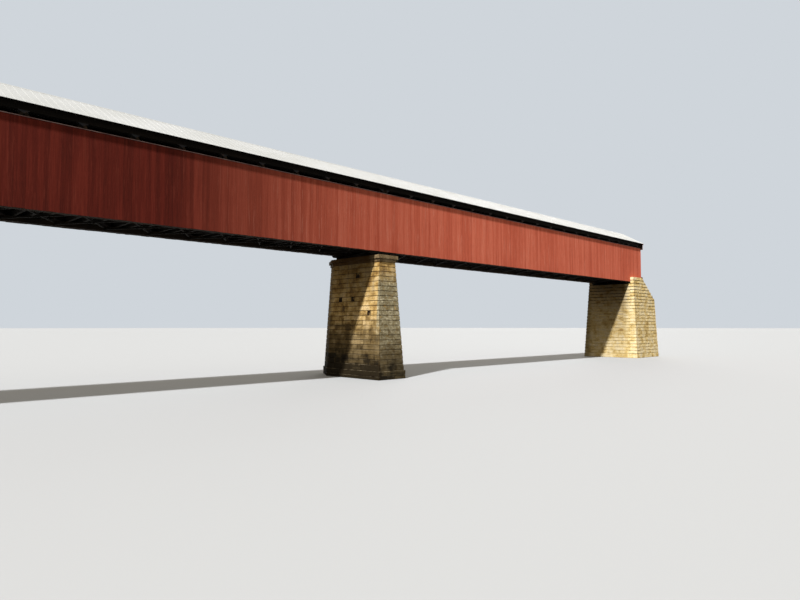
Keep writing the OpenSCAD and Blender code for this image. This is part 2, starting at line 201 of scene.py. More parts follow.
def grow(name, tree, values, start=None):
    """Runs a Geometry Nodes tree on a start mesh and keeps the result as a plain mesh object."""
    base = new_object(name + "_base", start or bpy.data.meshes.new(name + "_base"))
    modifier = base.modifiers.new("tree", "NODES")
    modifier.node_group = tree
    for item in tree.interface.items_tree:
        if item.in_out == "INPUT" and item.name in values:
            modifier[item.identifier] = values[item.name]
    depsgraph = bpy.context.evaluated_depsgraph_get()
    mesh = bpy.data.meshes.new_from_object(base.evaluated_get(depsgraph), preserve_all_data_layers=True,
                                           depsgraph=depsgraph)
    bpy.data.objects.remove(base)
    if mesh.materials[0] is None:
        mesh.materials.pop(index=0)
    return new_object(name, mesh)


def sandstone(name, stops, grime, painted_deck_shade, stain, stain_reach, lichen_ends, lichen, joint_z):
    """Split sandstone: a sandy, open grain with level bedding, mottled gold and brown, streaked by
    rain, grey where lichen grows, with painted shade under the deck and painted shade with damp growth
    on the shady side, dark bands near the foot and paler upward-facing ledges there."""
    material, tree, shader = new_finish(name)
    place = object_place(tree)
    parts = add(tree, "ShaderNodeSeparateXYZ", {0: place}).outputs
    tone = add(tree, "ShaderNodeAttribute", attribute_name="tone").outputs["Fac"]
    patches = noise(tree, place, 11.0, 6.0, 0.62)
    colour = ramp(tree, maths(tree, "MULTIPLY_ADD", tone, 0.06, patches), stops)
    layers = noise(tree, stretched(tree, place, (26.0, 26.0, 240.0)), 1.0, 3.0)
    colour = mix(tree, between(tree, layers, 0.4, 0.72, 0.0, 0.5 * grime), colour, linear("#8a7350"), "MULTIPLY")
    rain = noise(tree, stretched(tree, place, (34.0, 34.0, 3.0)), 1.0, 5.0)
    colour = mix(tree, between(tree, rain, 0.5, 0.72, 0.0, 0.45 * grime), colour, linear("#5f4a2c"))
    grain = noise(tree, place, 260.0, 5.0, 0.72)
    colour = mix(tree, between(tree, grain, 0.46, 0.7, 0.0, 0.5 * grime), colour, linear("#54422a"))
    colour = mix(tree, between(tree, grain, 0.47, 0.32, 0.0, 0.4), colour, linear("#ecdab2"))

    growth = noise(tree, place, 30.0, 8.0, 0.78)
    mottle = ramp(tree, growth, [(0.38, "#4a4430"), (0.47, lichen), (0.55, "#a0967a"), (0.65, "#cfc5a6")])
    end = maths(tree, "MULTIPLY", between(tree, parts["Y"], *lichen_ends, 1.0, 0.12),
                between(tree, parts["X"], *NEAR_ARRIS_X, 0.15, 1.0))
    crust = maths(tree, "MULTIPLY", between(tree, growth, 0.34, 0.46, 0.1, 0.95), end)
    crust = maths(tree, "MULTIPLY", crust, between(tree, parts["Z"], *LICHEN_TOP_Z, 1.0, 0.15))
    colour = mix(tree, crust, colour, mottle)

    # Painted shade: a warm dark brown over the faces under the deck, where the deck's shadow falls.
    shade = between(tree, parts["Z"], painted_deck_shade[0], DECK_SHADE_Z, 0.0, painted_deck_shade[1])
    for edge in DECK_SHADE_Y:
        shade = maths(tree, "MULTIPLY", shade, between(tree, parts["Y"], *edge, 0.0, 1.0))
    colour = mix(tree, shade, colour, linear("#482d0b"))
    # Painted shade, partly damp growth, darkens the far side of the stonework.
    colour = mix(tree, between(tree, parts["Y"], *SHADY_SIDE_Y, 0.0, 0.55), colour, linear("#332c1c"))

    bands = noise(tree, stretched(tree, place, (1.7, 1.7, 25.0)), 1.0, 4.0, 0.6)
    height = parts["Z"]
    for source, share in ((patches, stain_reach), (bands, stain_reach), (tone, 0.05), (end, 0.17)):
        height = maths(tree, "MULTIPLY_ADD", source, share, height)
    colour = mix(tree, between(tree, height, *stain, 0.83, 0.0), colour, linear("#52442b"))
    black = (stain[0] - 0.24, stain[0] - 0.04)
    colour = mix(tree, between(tree, height, *black, 0.92, 0.0), colour, linear("#120e07"))

    normal = add(tree, "ShaderNodeNewGeometry").outputs["Normal"]
    up = add(tree, "ShaderNodeSeparateXYZ", {0: normal}).outputs["Z"]
    # Paler on the upward-facing ledges near the foot.
    pale_ledges = maths(tree, "MULTIPLY", between(tree, up, 0.2, 0.55, 0.0, 0.7),
                 between(tree, patches, 0.42, 0.6, 0.0, 1.0))
    pale_ledges = maths(tree, "MULTIPLY", pale_ledges, between(tree, height, *stain, 1.0, 0.0))
    hollow = add(tree, "ShaderNodeAttribute", attribute_name="hollow").outputs["Fac"]
    hollow = between(tree, hollow, 0.2, 1.0, 0.0, 1.0)
    hollow = maths(tree, "MULTIPLY", hollow, between(tree, parts["Z"], joint_z - 0.1, joint_z + 0.1, 0.05, 1.0))
    hollow = maths(tree, "MULTIPLY", hollow, between(tree, growth, 0.42, 0.55, 0.25, 1.0))
    colour = mix(tree, hollow, colour, linear("#36230e"))
    colour = mix(tree, pale_ledges, colour, linear("#8b7e64"))
    coat(tree, shader, colour, 0.88, 0.1)
    emboss(tree, shader, (grain, 0.5, 0.0016), (layers, 0.6, 0.003))
    return material


PIER_STONE = [(0.28, "#694a20"), (0.4, "#af8642"), (0.5, "#dcb66e"), (0.62, "#f4d399"), (0.76, "#bb9e69")]
ABUTMENT_STONE = [(0.28, "#a8864a"), (0.4, "#d8b974"), (0.5, "#f0d79c"), (0.62, "#f7e5ba"), (0.76, "#d6bd86")]
# The coping's stone is darker and greyer than the pier's: partly weathering, partly painted shade.
COPING_STONE = [(0.28, "#45341f"), (0.4, "#6f5a3e"), (0.5, "#8c7858"), (0.62, "#a59173"), (0.76, "#7f7058")]
NO_LICHEN = (-0.9, -0.8)
pier_stone = sandstone("pier_sandstone", PIER_STONE, grime=1.0, painted_deck_shade=(0.65, 0.66), stain=(0.78, 1.01),
                       stain_reach=0.38, lichen_ends=(-0.33, -0.315), lichen="#7f775c", joint_z=0.0)
abutment_stone = sandstone("abutment_sandstone", ABUTMENT_STONE, grime=0.38, painted_deck_shade=(-0.3, 0.84),
                           stain=(-0.15, 0.25), stain_reach=0.3, lichen_ends=NO_LICHEN, lichen="#9c9170",
                           joint_z=0.8)
coping_stone = sandstone("coping_sandstone", COPING_STONE, grime=0.9, painted_deck_shade=(0.75, 0.9), stain=(0.1, 0.5),
                         stain_reach=0.3, lichen_ends=NO_LICHEN, lichen="#7d7660", joint_z=0.0)


def lime_mortar(name, joint_z, stain_z):
    """Old lime mortar, dull and sandy: flush and pale below a height, washed out here and there above
    it, and stained black below another."""
    material, tree, shader = new_finish(name)
    place = object_place(tree)
    height = add(tree, "ShaderNodeSeparateXYZ", {0: place}).outputs["Z"]
    worn = noise(tree, place, 9.0, 7.0, 0.65)
    height = maths(tree, "MULTIPLY_ADD", worn, 0.4, height)
    holes = noise(tree, place, 24.0, 4.0, 0.6)
    dark = ramp(tree, holes, [(0.4, "#171109"), (0.52, "#33261a"), (0.62, "#7d6740")])
    pale = ramp(tree, worn, [(0.36, "#8f7a4c"), (0.6, "#c9b27c")])
    opened = between(tree, height, joint_z + 0.1, joint_z + 0.3, 0.0, 1.0)
    colour = mix(tree, opened, pale, dark)
    colour = mix(tree, between(tree, height, stain_z, stain_z + 0.25, 0.9, 0.0), colour, linear("#120e07"))
    coat(tree, shader, colour, 0.95, 0.1)
    return material


pier_mortar = lime_mortar("pier_mortar", -0.5, 0.35)
abutment_mortar = lime_mortar("abutment_mortar", 0.8, -0.2)

stone_tree, given = new_tree("split_faces", {
    "Blocks": "NodeSocketGeometry", "Relief": "NodeSocketFloat", "Height kept": "NodeSocketFloat",
    "Length kept": "NodeSocketFloat", "Roughness": "NodeSocketFloat", "Raggedness": "NodeSocketFloat",
    "Lump size": "NodeSocketFloat", "Detail": "NodeSocketInt", "Seed": "NodeSocketInt",
    "Stone": "NodeSocketMaterial"})
tone = add(stone_tree, "FunctionNodeRandomValue", {"Min_001": -1.0, "Max_001": 1.0, "Seed": given["Seed"]})
toned = add(stone_tree, "GeometryNodeStoreNamedAttribute",
            {"Geometry": given["Blocks"], "Name": "tone", "Value": tone.outputs[1]}, domain="FACE")
relief = add(stone_tree, "FunctionNodeRandomValue",
             {"Min_001": RELIEF_SPREAD[0], "Max_001": RELIEF_SPREAD[1], "Seed": given["Seed"]})
relief = maths(stone_tree, "MULTIPLY", relief.outputs[1], given["Relief"])
raised = add(stone_tree, "GeometryNodeExtrudeMesh", {"Mesh": toned.outputs[0], "Offset Scale": relief})
dressed = add(stone_tree, "GeometryNodeScaleElements",
              {"Geometry": raised.outputs["Mesh"], "Selection": raised.outputs["Top"],
               "Scale": given["Height kept"], "Axis": (0.0, 0.0, 1.0)}, scale_mode="SINGLE_AXIS")
dressed = add(stone_tree, "GeometryNodeScaleElements",
              {"Geometry": dressed.outputs[0], "Selection": raised.outputs["Top"], "Scale": given["Length kept"]})
face = add(stone_tree, "GeometryNodeStoreNamedAttribute",
           {"Geometry": dressed.outputs[0], "Name": "face", "Value": raised.outputs["Top"]}, domain="POINT")
fine = add(stone_tree, "GeometryNodeSubdivideMesh", {"Mesh": face.outputs[0], "Level": given["Detail"]})
out = add(stone_tree, "GeometryNodeInputNamedAttribute", {"Name": "out"}, data_type="FLOAT_VECTOR")
on_face = add(stone_tree, "GeometryNodeInputNamedAttribute", {"Name": "face"}, data_type="FLOAT")
where = add(stone_tree, "GeometryNodeInputPosition")
lumps = noise(stone_tree, where.outputs[0], maths(stone_tree, "DIVIDE", 1.0, given["Lump size"]), 2.0, 0.6)
level = maths(stone_tree, "SUBTRACT", lumps, 0.5)
for factor in (on_face.outputs[0], given["Roughness"]):
    level = maths(stone_tree, "MULTIPLY", level, factor)
push = add(stone_tree, "ShaderNodeVectorMath", {0: out.outputs[0], "Scale": level}, operation="SCALE")
chips = add(stone_tree, "ShaderNodeTexNoise",
            {"Vector": where.outputs[0], "Scale": CHIPS_IN_A_METRE, "Detail": 1.0})
chips = add(stone_tree, "ShaderNodeVectorMath", {0: chips.outputs[1], 1: (0.5, 0.5, 0.5)}, operation="SUBTRACT")
chips = add(stone_tree, "ShaderNodeVectorMath", {0: chips.outputs[0], "Scale": given["Raggedness"]},
            operation="SCALE")
push = add(stone_tree, "ShaderNodeVectorMath", {0: push.outputs[0], 1: chips.outputs[0]}, operation="ADD")
rough = add(stone_tree, "GeometryNodeSetPosition", {"Geometry": fine.outputs[0], "Offset": push.outputs[0]})
hollow = maths(stone_tree, "SUBTRACT", 1.0, on_face.outputs[0])
kept = add(stone_tree, "GeometryNodeStoreNamedAttribute",
           {"Geometry": rough.outputs[0], "Name": "hollow", "Value": hollow}, domain="POINT")
whole = add(stone_tree, "GeometryNodeRealizeInstances", {"Geometry": kept.outputs[0]})
coated = add(stone_tree, "GeometryNodeSetMaterial", {"Geometry": whole.outputs[0], "Material": given["Stone"]})
add(stone_tree, "NodeGroupOutput", {0: coated.outputs[0]})


SAME_POINT = 2e-5
SAME_PLANE = math.radians(0.5)
STEEP = 0.3
ACROSS_BRIDGE = 0.9
JUST_INSIDE = 2e-4


def flat_faced(node):
    """A CAD node's shape with its triangles joined into flat faces."""
    shape = bmesh.new()
    shape.from_mesh(nodes[node].data)
    bmesh.ops.remove_doubles(shape, verts=shape.verts, dist=SAME_POINT)
    bmesh.ops.dissolve_limit(shape, angle_limit=SAME_PLANE, verts=shape.verts, edges=shape.edges)
    return shape


def reach(points, side, height):
    """How far a face's outline reaches, each way along its courses, at a height."""
    found = []
    for a, b in zip(points, points[1:] + points[:1]):
        if (a.z - height) * (b.z - height) < 0:
            found.append(a.lerp(b, (height - a.z) / (b.z - a.z)).dot(side))
    return min(found), max(found)


def lay_courses(shape, blocks, keep, course, joint, length, holes, dice):
    """Lays blocks on each upright face of a shape that keep() accepts, course by course from the top.
    holes is the share of blocks, on the faces across the bridge, with a square hole in the middle that
    the builders' scaffold left."""
    out = blocks.faces.layers.float_vector.get("out") or blocks.faces.layers.float_vector.new("out")
    for face in shape.faces:
        normal = face.normal
        if abs(normal.z) > STEEP or not keep(face):
            continue
        points = [v.co for v in face.verts]
        side = Vector((0, 0, 1)).cross(normal).normalized()
        level = Vector((normal.x, normal.y, 0))
        offset = normal.dot(points[0])

        def on_wall(along, height, back=0.0):
            """The point of the wall that lies so far along it and so high."""
            depth = (offset - normal.z * height) / level.length
            return side * along + level.normalized() * depth + Vector((0, 0, height)) - normal * back

        low, top = min(p.z for p in points), max(p.z for p in points)
        count = max(1, int((top - low) / course + 1 - LEAST_COURSE))
        heights = [low] + [top - course * k for k in range(count - 1, -1, -1)]
        for bottom, head in zip(heights, heights[1:]):
            ends = [reach(points, side, bottom + JUST_INSIDE), reach(points, side, head - JUST_INSIDE)]
            start = (ends[0][0] + ends[1][0]) / 2
            span = (ends[0][1] + ends[1][1]) / 2 - start
            pieces = max(1, round(span / length))
            widths = [dice.uniform(*LENGTH_SPREAD) for _ in range(pieces)]
            cuts = [start + span * sum(widths[:k]) / sum(widths) for k in range(pieces + 1)]
            foot = bottom + (joint / 2 if bottom > low else 0)
            brow = head - (joint / 2 if head < top else 0)
            for k in range(pieces):
                left = [ends[0][0], ends[1][0]] if k == 0 else [cuts[k] + END_JOINT / 2] * 2
                right = [ends[0][1], ends[1][1]] if k == pieces - 1 else [cuts[k + 1] - END_JOINT / 2] * 2
                stretches = [(left, right)]
                middle = (left[0] + right[0]) / 2
                if foot > LOWEST_HOLE and abs(normal.x) > ACROSS_BRIDGE and dice.random() < holes:
                    stretches = [(left, [middle - HOLE_WIDTH / 2] * 2), ([middle + HOLE_WIDTH / 2] * 2, right)]
                for begin, finish in stretches:
                    corners = [(begin[0], foot), (finish[0], foot), (finish[1], brow), (begin[1], brow)]
                    made = blocks.faces.new([blocks.verts.new(on_wall(s, z, RELIEF)) for s, z in corners])
                    made[out] = normal


def bed(shape):
    """The mortar bed: the same shape with its upright faces set back behind the blocks."""
    shape.normal_update()
    moved = {v: v.co - v.normal * RELIEF * v.calc_shell_factor() for v in shape.verts}
    for vert, place in moved.items():
        vert.co.xy = place.xy


def build_masonry(name, members, keep, stone, mortar, slot, seed, course=COURSE, joint=BED_JOINT,
                  length=BLOCK_LENGTH, holes=0.0, height_kept=0.92, rough=0.007, ragged=0.0016):
    """Blocks on the faces of some CAD nodes, over the mortar bed that fills them."""
    dice = random.Random(seed)
    blocks, fill = bmesh.new(), bmesh.new()
    for node in members:
        shape = flat_faced(node)
        lay_courses(shape, blocks, keep, course, joint, length, holes, dice)
        bed(shape)
        core = bpy.data.meshes.new("core")
        shape.to_mesh(core)
        fill.from_mesh(core)
        bpy.data.meshes.remove(core)
        shape.free()
    mesh = bpy.data.meshes.new(name + "_blocks")
    blocks.to_mesh(mesh)
    blocks.free()
    piece = grow(name, stone_tree, {
        "Relief": RELIEF, "Height kept": height_kept, "Length kept": LENGTH_KEPT, "Roughness": rough,
        "Raggedness": ragged, "Lump size": LUMP_SIZE, "Detail": FACE_DETAIL, "Seed": seed, "Stone": stone}, mesh)
    piece.data.materials.append(mortar)
    whole = bmesh.new()
    whole.from_mesh(piece.data)
    bmesh.ops.holes_fill(whole, edges=[edge for edge in whole.edges if edge.is_boundary])
    stones = len(whole.faces)
    core = bpy.data.meshes.new("core")
    fill.to_mesh(core)
    fill.free()
    whole.from_mesh(core)
    whole.faces.ensure_lookup_table()
    for face in whole.faces[stones:]:
        face.material_index = 0 if face.normal.z > 0.5 else len(piece.data.materials) - 1
    whole.to_mesh(piece.data)
    whole.free()
    bpy.data.meshes.remove(core)
    add_piece(piece, slot, *members)


def every_face(face):
    """All the faces of a shape."""
    return True


def faces_span(face):
    """Only the abutment's front, which looks along the bridge at the pier."""
    return face.normal.x * face.calc_center_median().x < -0.5


def faces_road(face):
    """Only the outer face of the wall behind the seat."""
    return face.normal.x * face.calc_center_median().x > 0.5


build_masonry("pier_masonry", ["pier_footing", "pier_shaft"], every_face, pier_stone, pier_mortar,
              "stone_masonry", 11, holes=0.045)
build_masonry("pier_coping_blocks", ["pier_coping"], every_face, coping_stone, pier_mortar, "dressed_stone", 12,
              length=0.16, height_kept=0.93, rough=0.003, ragged=0.0008)
for name, members, keep, seed in (
        ("abutment_fronts", ["left_abutment", "right_abutment"], faces_span, 13),
        ("backwall_faces", ["backwalls"], faces_road, 14),
        ("left_wing_masonry", ["left_wing_walls"], every_face, 15),
        ("right_wing_masonry", ["right_wing_walls"], every_face, 16)):
    build_masonry(name, members, keep, abutment_stone, abutment_mortar, "stone_masonry", seed,
                  course=ABUTMENT_COURSE, joint=ABUTMENT_BED_JOINT, height_kept=0.88, rough=0.01, ragged=0.006)


# Timber frame: sawn oak and pine, bare and brown-black with age and smoke. The sticks under the
# floor and up in the roof get a much darker copy of it as painted shade. The grain runs along each
# stick. Its lines are drawn about ten times as coarse as real ones, or they wouldn't show.
GRAIN = 0.003
GRAIN_STRETCH = (0.06, 1.0, 1.0)


def sawn_timber(name, along, dark, middle, light):
    """Rough-sawn timber, dull and dry, with its grain along an axis."""
    material, tree, shader = new_finish(name)
    place = object_place(tree)
    turned = add(tree, "ShaderNodeMapping", {"Vector": place, "Rotation": along}).outputs[0]
    lines = noise(tree, stretched(tree, turned, GRAIN_STRETCH), 1 / GRAIN, 4.0, 0.65)
    weather = maths(tree, "MULTIPLY", noise(tree, place, 6.0, 4.0), 0.45)
    both = maths(tree, "MULTIPLY_ADD", lines, 0.55, weather)
    coat(tree, shader, ramp(tree, both, [(0.35, dark), (0.5, middle), (0.66, light)]), 0.88, 0.12)
    emboss(tree, shader, (lines, 0.4, 0.001))
    return material


def refinish(material, *members):
    """Gives some carried-over CAD nodes a material."""
    for node in members:
        nodes[node].data.materials.clear()
        nodes[node].data.materials.append(material)


ALONG_X = (0.0, 0.0, 0.0)
ALONG_Y = (0.0, 0.0, math.radians(-90))
ALONG_Z = (0.0, math.radians(90), 0.0)
AGED = ("#16110c", "#281f16", "#3e3326")
# Painted shade: a near-black copy of the aged timber.
SHADED = ("#0a0805", "#130f0a", "#1f1812")
WORN = ("#3b3026", "#5e5040", "#85765f")
timber_x = sawn_timber("aged_timber_lengthwise", ALONG_X, *AGED)
timber_y = sawn_timber("aged_timber_crosswise", ALONG_Y, *AGED)
timber_z = sawn_timber("aged_timber_upright", ALONG_Z, *AGED)
painted_shade_timber_x = sawn_timber("painted_shade_timber_lengthwise", ALONG_X, *SHADED)
painted_shade_timber_y = sawn_timber("painted_shade_timber_crosswise", ALONG_Y, *SHADED)
worn_x = sawn_timber("wheel_worn_timber_lengthwise", ALONG_X, *WORN)
worn_y = sawn_timber("wheel_worn_timber_crosswise", ALONG_Y, *WORN)
refinish(timber_x, "nailers", "lower_chords")
refinish(painted_shade_timber_x, "bolsters", "stringers", "upper_chords", "wall_plates")
refinish(painted_shade_timber_y, "bed_timbers", "floor_beams", "lower_laterals", "near_rafters", "far_rafters", "tie_beams",
         "upper_laterals")
refinish(timber_y, "portal_headers", "portal_knees")
refinish(timber_z, "end_posts", "main_braces", "counter_braces", "portal_posts")
refinish(worn_x, "running_boards", "curbs")


# Iron: forged rods and cast wedges, black with a dull brown bloom of rust.
iron, tree, shader = new_finish("blackened_iron")
rust = noise(tree, object_place(tree), 35.0, 6.0)
coat(tree, shader, ramp(tree, rust, [(0.42, "#141313"), (0.6, "#241b17"), (0.75, "#47301f")]), 0.7)
shader.inputs["Metallic"].default_value = 0.5
refinish(iron, "tension_rods", "angle_blocks")


# Side boards: upright pine boards a foot wide, nailed to the rails and painted barn red on the outside
# only. Over the left span the red is darkened by painted shade, which thins out across the pier;
# right of it the red is plain. It differs a little from board to board, and in faint upright streaks.
BOARD_PITCH = 0.03
BOARD_SLACK = (0.0, 0.0002, 0.0012)
ARRIS = 0.0005

red_paint, tree, shader = new_finish("barn_red_paint_with_painted_shade")
place = object_place(tree)
along = add(tree, "ShaderNodeSeparateXYZ", {0: place}).outputs["X"]
tone = add(tree, "ShaderNodeAttribute", attribute_name="tone").outputs["Fac"]
upright = stretched(tree, place, (1.0, 1.0, 0.035))
streaks = noise(tree, upright, 55.0, 6.0, 0.85)
fading = noise(tree, place, 1.3, 5.0, 0.6)
shade = maths(tree, "MULTIPLY", tone, 0.09)
for source, share in ((streaks, 0.7), (fading, 0.3)):
    shade = maths(tree, "MULTIPLY_ADD", source, share, shade)
# Painted shade: the much darker red over the left span.
painted_shade_red = ramp(tree, shade, [(0.26, "#3a1009"), (0.5, "#561b12"), (0.74, "#722a1e")])
open_red = ramp(tree, shade, [(0.2, "#a44531"), (0.5, "#cb654c"), (0.8, "#e28167")])
worn = noise(tree, upright, 100.0, 4.0, 0.7)
painted_shade_red = mix(tree, between(tree, worn, 0.57, 0.64, 0.0, 0.3), painted_shade_red, linear("#7d382a"))
open_red = mix(tree, between(tree, worn, 0.57, 0.64, 0.0, 0.45), open_red, linear("#e0937c"))
unshaded_share = maths(tree, "ADD", between(tree, along, -2.0, -0.5, 0.0, 0.62), between(tree, along, -0.5, 1.1, 0.0, 0.38))
colour = mix(tree, unshaded_share, painted_shade_red, open_red)
grain = noise(tree, upright, 420.0, 3.0, 0.6)
colour = mix(tree, between(tree, grain, 0.56, 0.72, 0.0, 0.45), colour, linear("#7a3325"))
coat(tree, shader, colour, 0.85, 0.12)
emboss(tree, shader, (grain, 0.3, 0.0006))

board_tree, given = new_tree("row_of_boards", {
    "First": "NodeSocketVector", "Step": "NodeSocketVector", "Count": "NodeSocketInt", "Size": "NodeSocketVector",
    "Slack": "NodeSocketVector", "Turn": "NodeSocketVector", "Seed": "NodeSocketInt",
    "Finish": "NodeSocketMaterial"})
row = add(board_tree, "GeometryNodeMeshLine",
          {"Count": given["Count"], "Start Location": given["First"], "Offset": given["Step"]})
board = add(board_tree, "GeometryNodeMeshCube", {"Size": given["Size"]})
angles = add(board_tree, "FunctionNodeEulerToRotation", {0: given["Turn"]})
placed = add(board_tree, "GeometryNodeInstanceOnPoints",
             {"Points": row.outputs[0], "Instance": board.outputs[0], "Rotation": angles.outputs[0]})
least = add(board_tree, "ShaderNodeVectorMath", {0: given["Slack"], "Scale": -1.0}, operation="SCALE")
slip = add(board_tree, "FunctionNodeRandomValue",
           {"Min": least.outputs[0], "Max": given["Slack"], "Seed": given["Seed"]}, data_type="FLOAT_VECTOR")
loose = add(board_tree, "GeometryNodeTranslateInstances",
            {"Instances": placed.outputs[0], "Translation": slip.outputs[0]})
tone = add(board_tree, "FunctionNodeRandomValue", {"Min_001": -1.0, "Max_001": 1.0, "Seed": given["Seed"]})
toned = add(board_tree, "GeometryNodeStoreNamedAttribute",
            {"Geometry": loose.outputs[0], "Name": "tone", "Value": tone.outputs[1]}, domain="INSTANCE")
whole = add(board_tree, "GeometryNodeRealizeInstances", {"Geometry": toned.outputs[0]})
coated = add(board_tree, "GeometryNodeSetMaterial", {"Geometry": whole.outputs[0], "Material": given["Finish"]})
add(board_tree, "NodeGroupOutput", {0: coated.outputs[0]})


def ease_arrises(piece, width):
    """Takes the sharp edge off each board."""
    bevel = piece.modifiers.new("arris", "BEVEL")
    bevel.width = width
    bevel.segments = 1
    bevel.limit_method = "ANGLE"


def leave_bare(piece, inward):
    """Leaves the faces that look inwards unpainted."""
    piece.data.materials.append(timber_z)
    for face in piece.data.polygons:
        if face.normal.dot(inward) > 0.5:
            face.material_index = 1


for seed, node in enumerate(("near_siding", "far_siding")):
    low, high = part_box(node)
    size = high - low
    count = round(size.x / BOARD_PITCH)
    pitch = size.x / count
    boards = grow(node + "_boards", board_tree, {
        "First": (low.x + pitch / 2, (low.y + high.y) / 2, (low.z + high.z) / 2), "Step": (pitch, 0, 0),
        "Count": count, "Size": (pitch, size.y - 2 * BOARD_SLACK[1], size.z - 2 * BOARD_SLACK[2]),
        "Slack": BOARD_SLACK, "Turn": (0, 0, 0), "Seed": 30 + seed, "Finish": red_paint})
    leave_bare(boards, Vector((0, -low.y, 0)).normalized())
    ease_arrises(boards, ARRIS)
    add_piece(boards, "red_boards", node)


# End boards: the same boards around each portal, cut to the roof's slope above it and reaching out
# under the eaves, with casings around the opening, a board over each corner and one along each slope.
SAME_PLACE = 1e-4

wall_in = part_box("portal_jambs")[1].y
wall_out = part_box("far_siding")[1].y
rail_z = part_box("far_siding")[1].z
for side, gable in ((-1, "left_gable"), (1, "right_gable")):
    low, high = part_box(gable)
    inner_x, outer_x = (high.x, low.x) if side < 0 else (low.x, high.x)
    corners = [v.co for v in nodes[gable].data.vertices]
    tips = [v.z for v in corners if v.y > high.y - SAME_PLACE]
    slope = (high.z - max(tips)) / high.y
    ear_in = min(v.y for v in corners if wall_out < v.y and abs(v.z - rail_z) < SAME_PLACE)
    jambs = [v.co for v in nodes["portal_jambs"].data.vertices if v.co.x * side > 0]
    casing = [v for v in jambs if abs(v.x) > abs(outer_x) + SAME_PLACE]
    opening = min(v.y for v in casing if v.y > 0)
    casing_out, casing_top = max(v.y for v in casing), max(v.z for v in casing)
    casing_low, casing_face = min(v.z for v in casing), max(abs(v.x) for v in casing) * side
    jamb_low = min(v.z for v in jambs)
    head = min(v.z for v in corners if v.y < wall_out and v.y > 0)
    feet = [(0, opening, head), (opening, wall_in, jamb_low), (wall_in, ear_in, rail_z), (ear_in, high.y, min(tips))]
    feet = [(-b, -a, z) for a, b, z in reversed(feet)] + feet
    dice = random.Random(40 + side)
    shape = bmesh.new()
    tone = shape.faces.layers.float.new("tone")

    def add_board(outline, back_x, face_x):
        """A board with an outline of (y, z) between two places along the bridge."""
        back = [shape.verts.new((back_x, y, z)) for y, z in outline]
        front = [shape.verts.new((face_x, y, z)) for y, z in outline]
        faces = [shape.faces.new(front), shape.faces.new(list(reversed(back)))]
        for i in range(len(outline)):
            j = (i + 1) % len(outline)
            faces.append(shape.faces.new([back[i], back[j], front[j], front[i]]))
        board_tone = dice.uniform(-1, 1)
        for face in faces:
            face[tone] = board_tone

    stops = [-high.y, -ear_in, -opening, opening, ear_in, high.y]
    for start, finish in zip(stops, stops[1:]):
        count = round((finish - start) / BOARD_PITCH)
        pitch = (finish - start) / count
        for k in range(count):
            left, right = start + k * pitch, start + (k + 1) * pitch
            outline = []
            for a, b, z in feet:
                if a < right and b > left:
                    outline += [(max(a, left), z), (min(b, right), z)]
            outline = [p for n, p in enumerate(outline) if n == 0 or p != outline[n - 1]]
            tops = [right, 0.0, left] if left < 0 < right else [right, left]
            add_board(outline + [(y, high.z - slope * abs(y)) for y in tops], inner_x, outer_x)
    for y_low, y_high in ((-casing_out, -opening), (opening, casing_out)):
        add_board([(y_low, casing_low), (y_high, casing_low), (y_high, head), (y_low, head)], outer_x, casing_face)
    add_board([(-casing_out, head), (casing_out, head), (casing_out, casing_top), (-casing_out, casing_top)],
              outer_x, casing_face)
    bmesh.ops.recalc_face_normals(shape, faces=shape.faces)
    mesh = bpy.data.meshes.new(gable + "_boards")
    shape.to_mesh(mesh)
    shape.free()
    mesh.materials.append(red_paint)
    boards = new_object(gable + "_boards", mesh)
    leave_bare(boards, Vector((-side, 0, 0)))
    ease_arrises(boards, ARRIS)
    add_piece(boards, "red_boards", *([gable] if side < 0 else [gable, "portal_jambs"]))
refinish(red_paint, "corner_boards", "bargeboards")


# Capping rail: a board laid flat on the top of the side boards, its paint worn to a mauve grey.
grey_rail, tree, shader = new_finish("worn_rail_paint")
wear = noise(tree, object_place(tree), 14.0, 6.0)
coat(tree, shader, ramp(tree, wear, [(0.35, "#7d6362"), (0.55, "#957b79"), (0.75, "#a8948f")]), 0.85, 0.12)
refinish(grey_rail, "cap_rails")


# Floor: thick planks laid across the stringers, with a gap between them, and two tracks of
# running boards worn pale by wheels.
PLANK_PITCH = 0.025
PLANK_GAP = 0.0012
PLANK_END_ROOM = 0.003
PLANK_FACE_ROOM = 0.0002
PLANK_SLACK = (0, 0.0015, 0.0001)
low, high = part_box("deck")
count = round((high.x - low.x) / PLANK_PITCH)
pitch = (high.x - low.x) / count
planks = grow("deck_planks", board_tree, {
    "First": (low.x + pitch / 2, 0, (low.z + high.z) / 2), "Step": (pitch, 0, 0), "Count": count,
    "Size": (pitch - PLANK_GAP, high.y - low.y - PLANK_END_ROOM, high.z - low.z - PLANK_FACE_ROOM),
    "Slack": PLANK_SLACK, "Turn": (0, 0, 0), "Seed": 50, "Finish": worn_y})
# The planks' undersides get the painted-shade timber.
planks.data.materials.append(painted_shade_timber_y)
for face in planks.data.polygons:
    if face.normal.z < -0.5:
        face.material_index = 1
add_piece(planks, "weathered_timber", "deck")


# Roof: boards along the rafters' backs, and painted sheet steel over them with a standing seam
# every 48 cm, folded down under a ridge cap.
SEAM_PITCH = 0.048
SEAM_WIDTH = 0.0016
SEAM_HEIGHT = 0.0026
SEAM_SHORT = 0.016
SEAM_SHIFT = 0.007
ROOF_BOARD = 0.02
ROOF_BOARD_GAP = 0.07

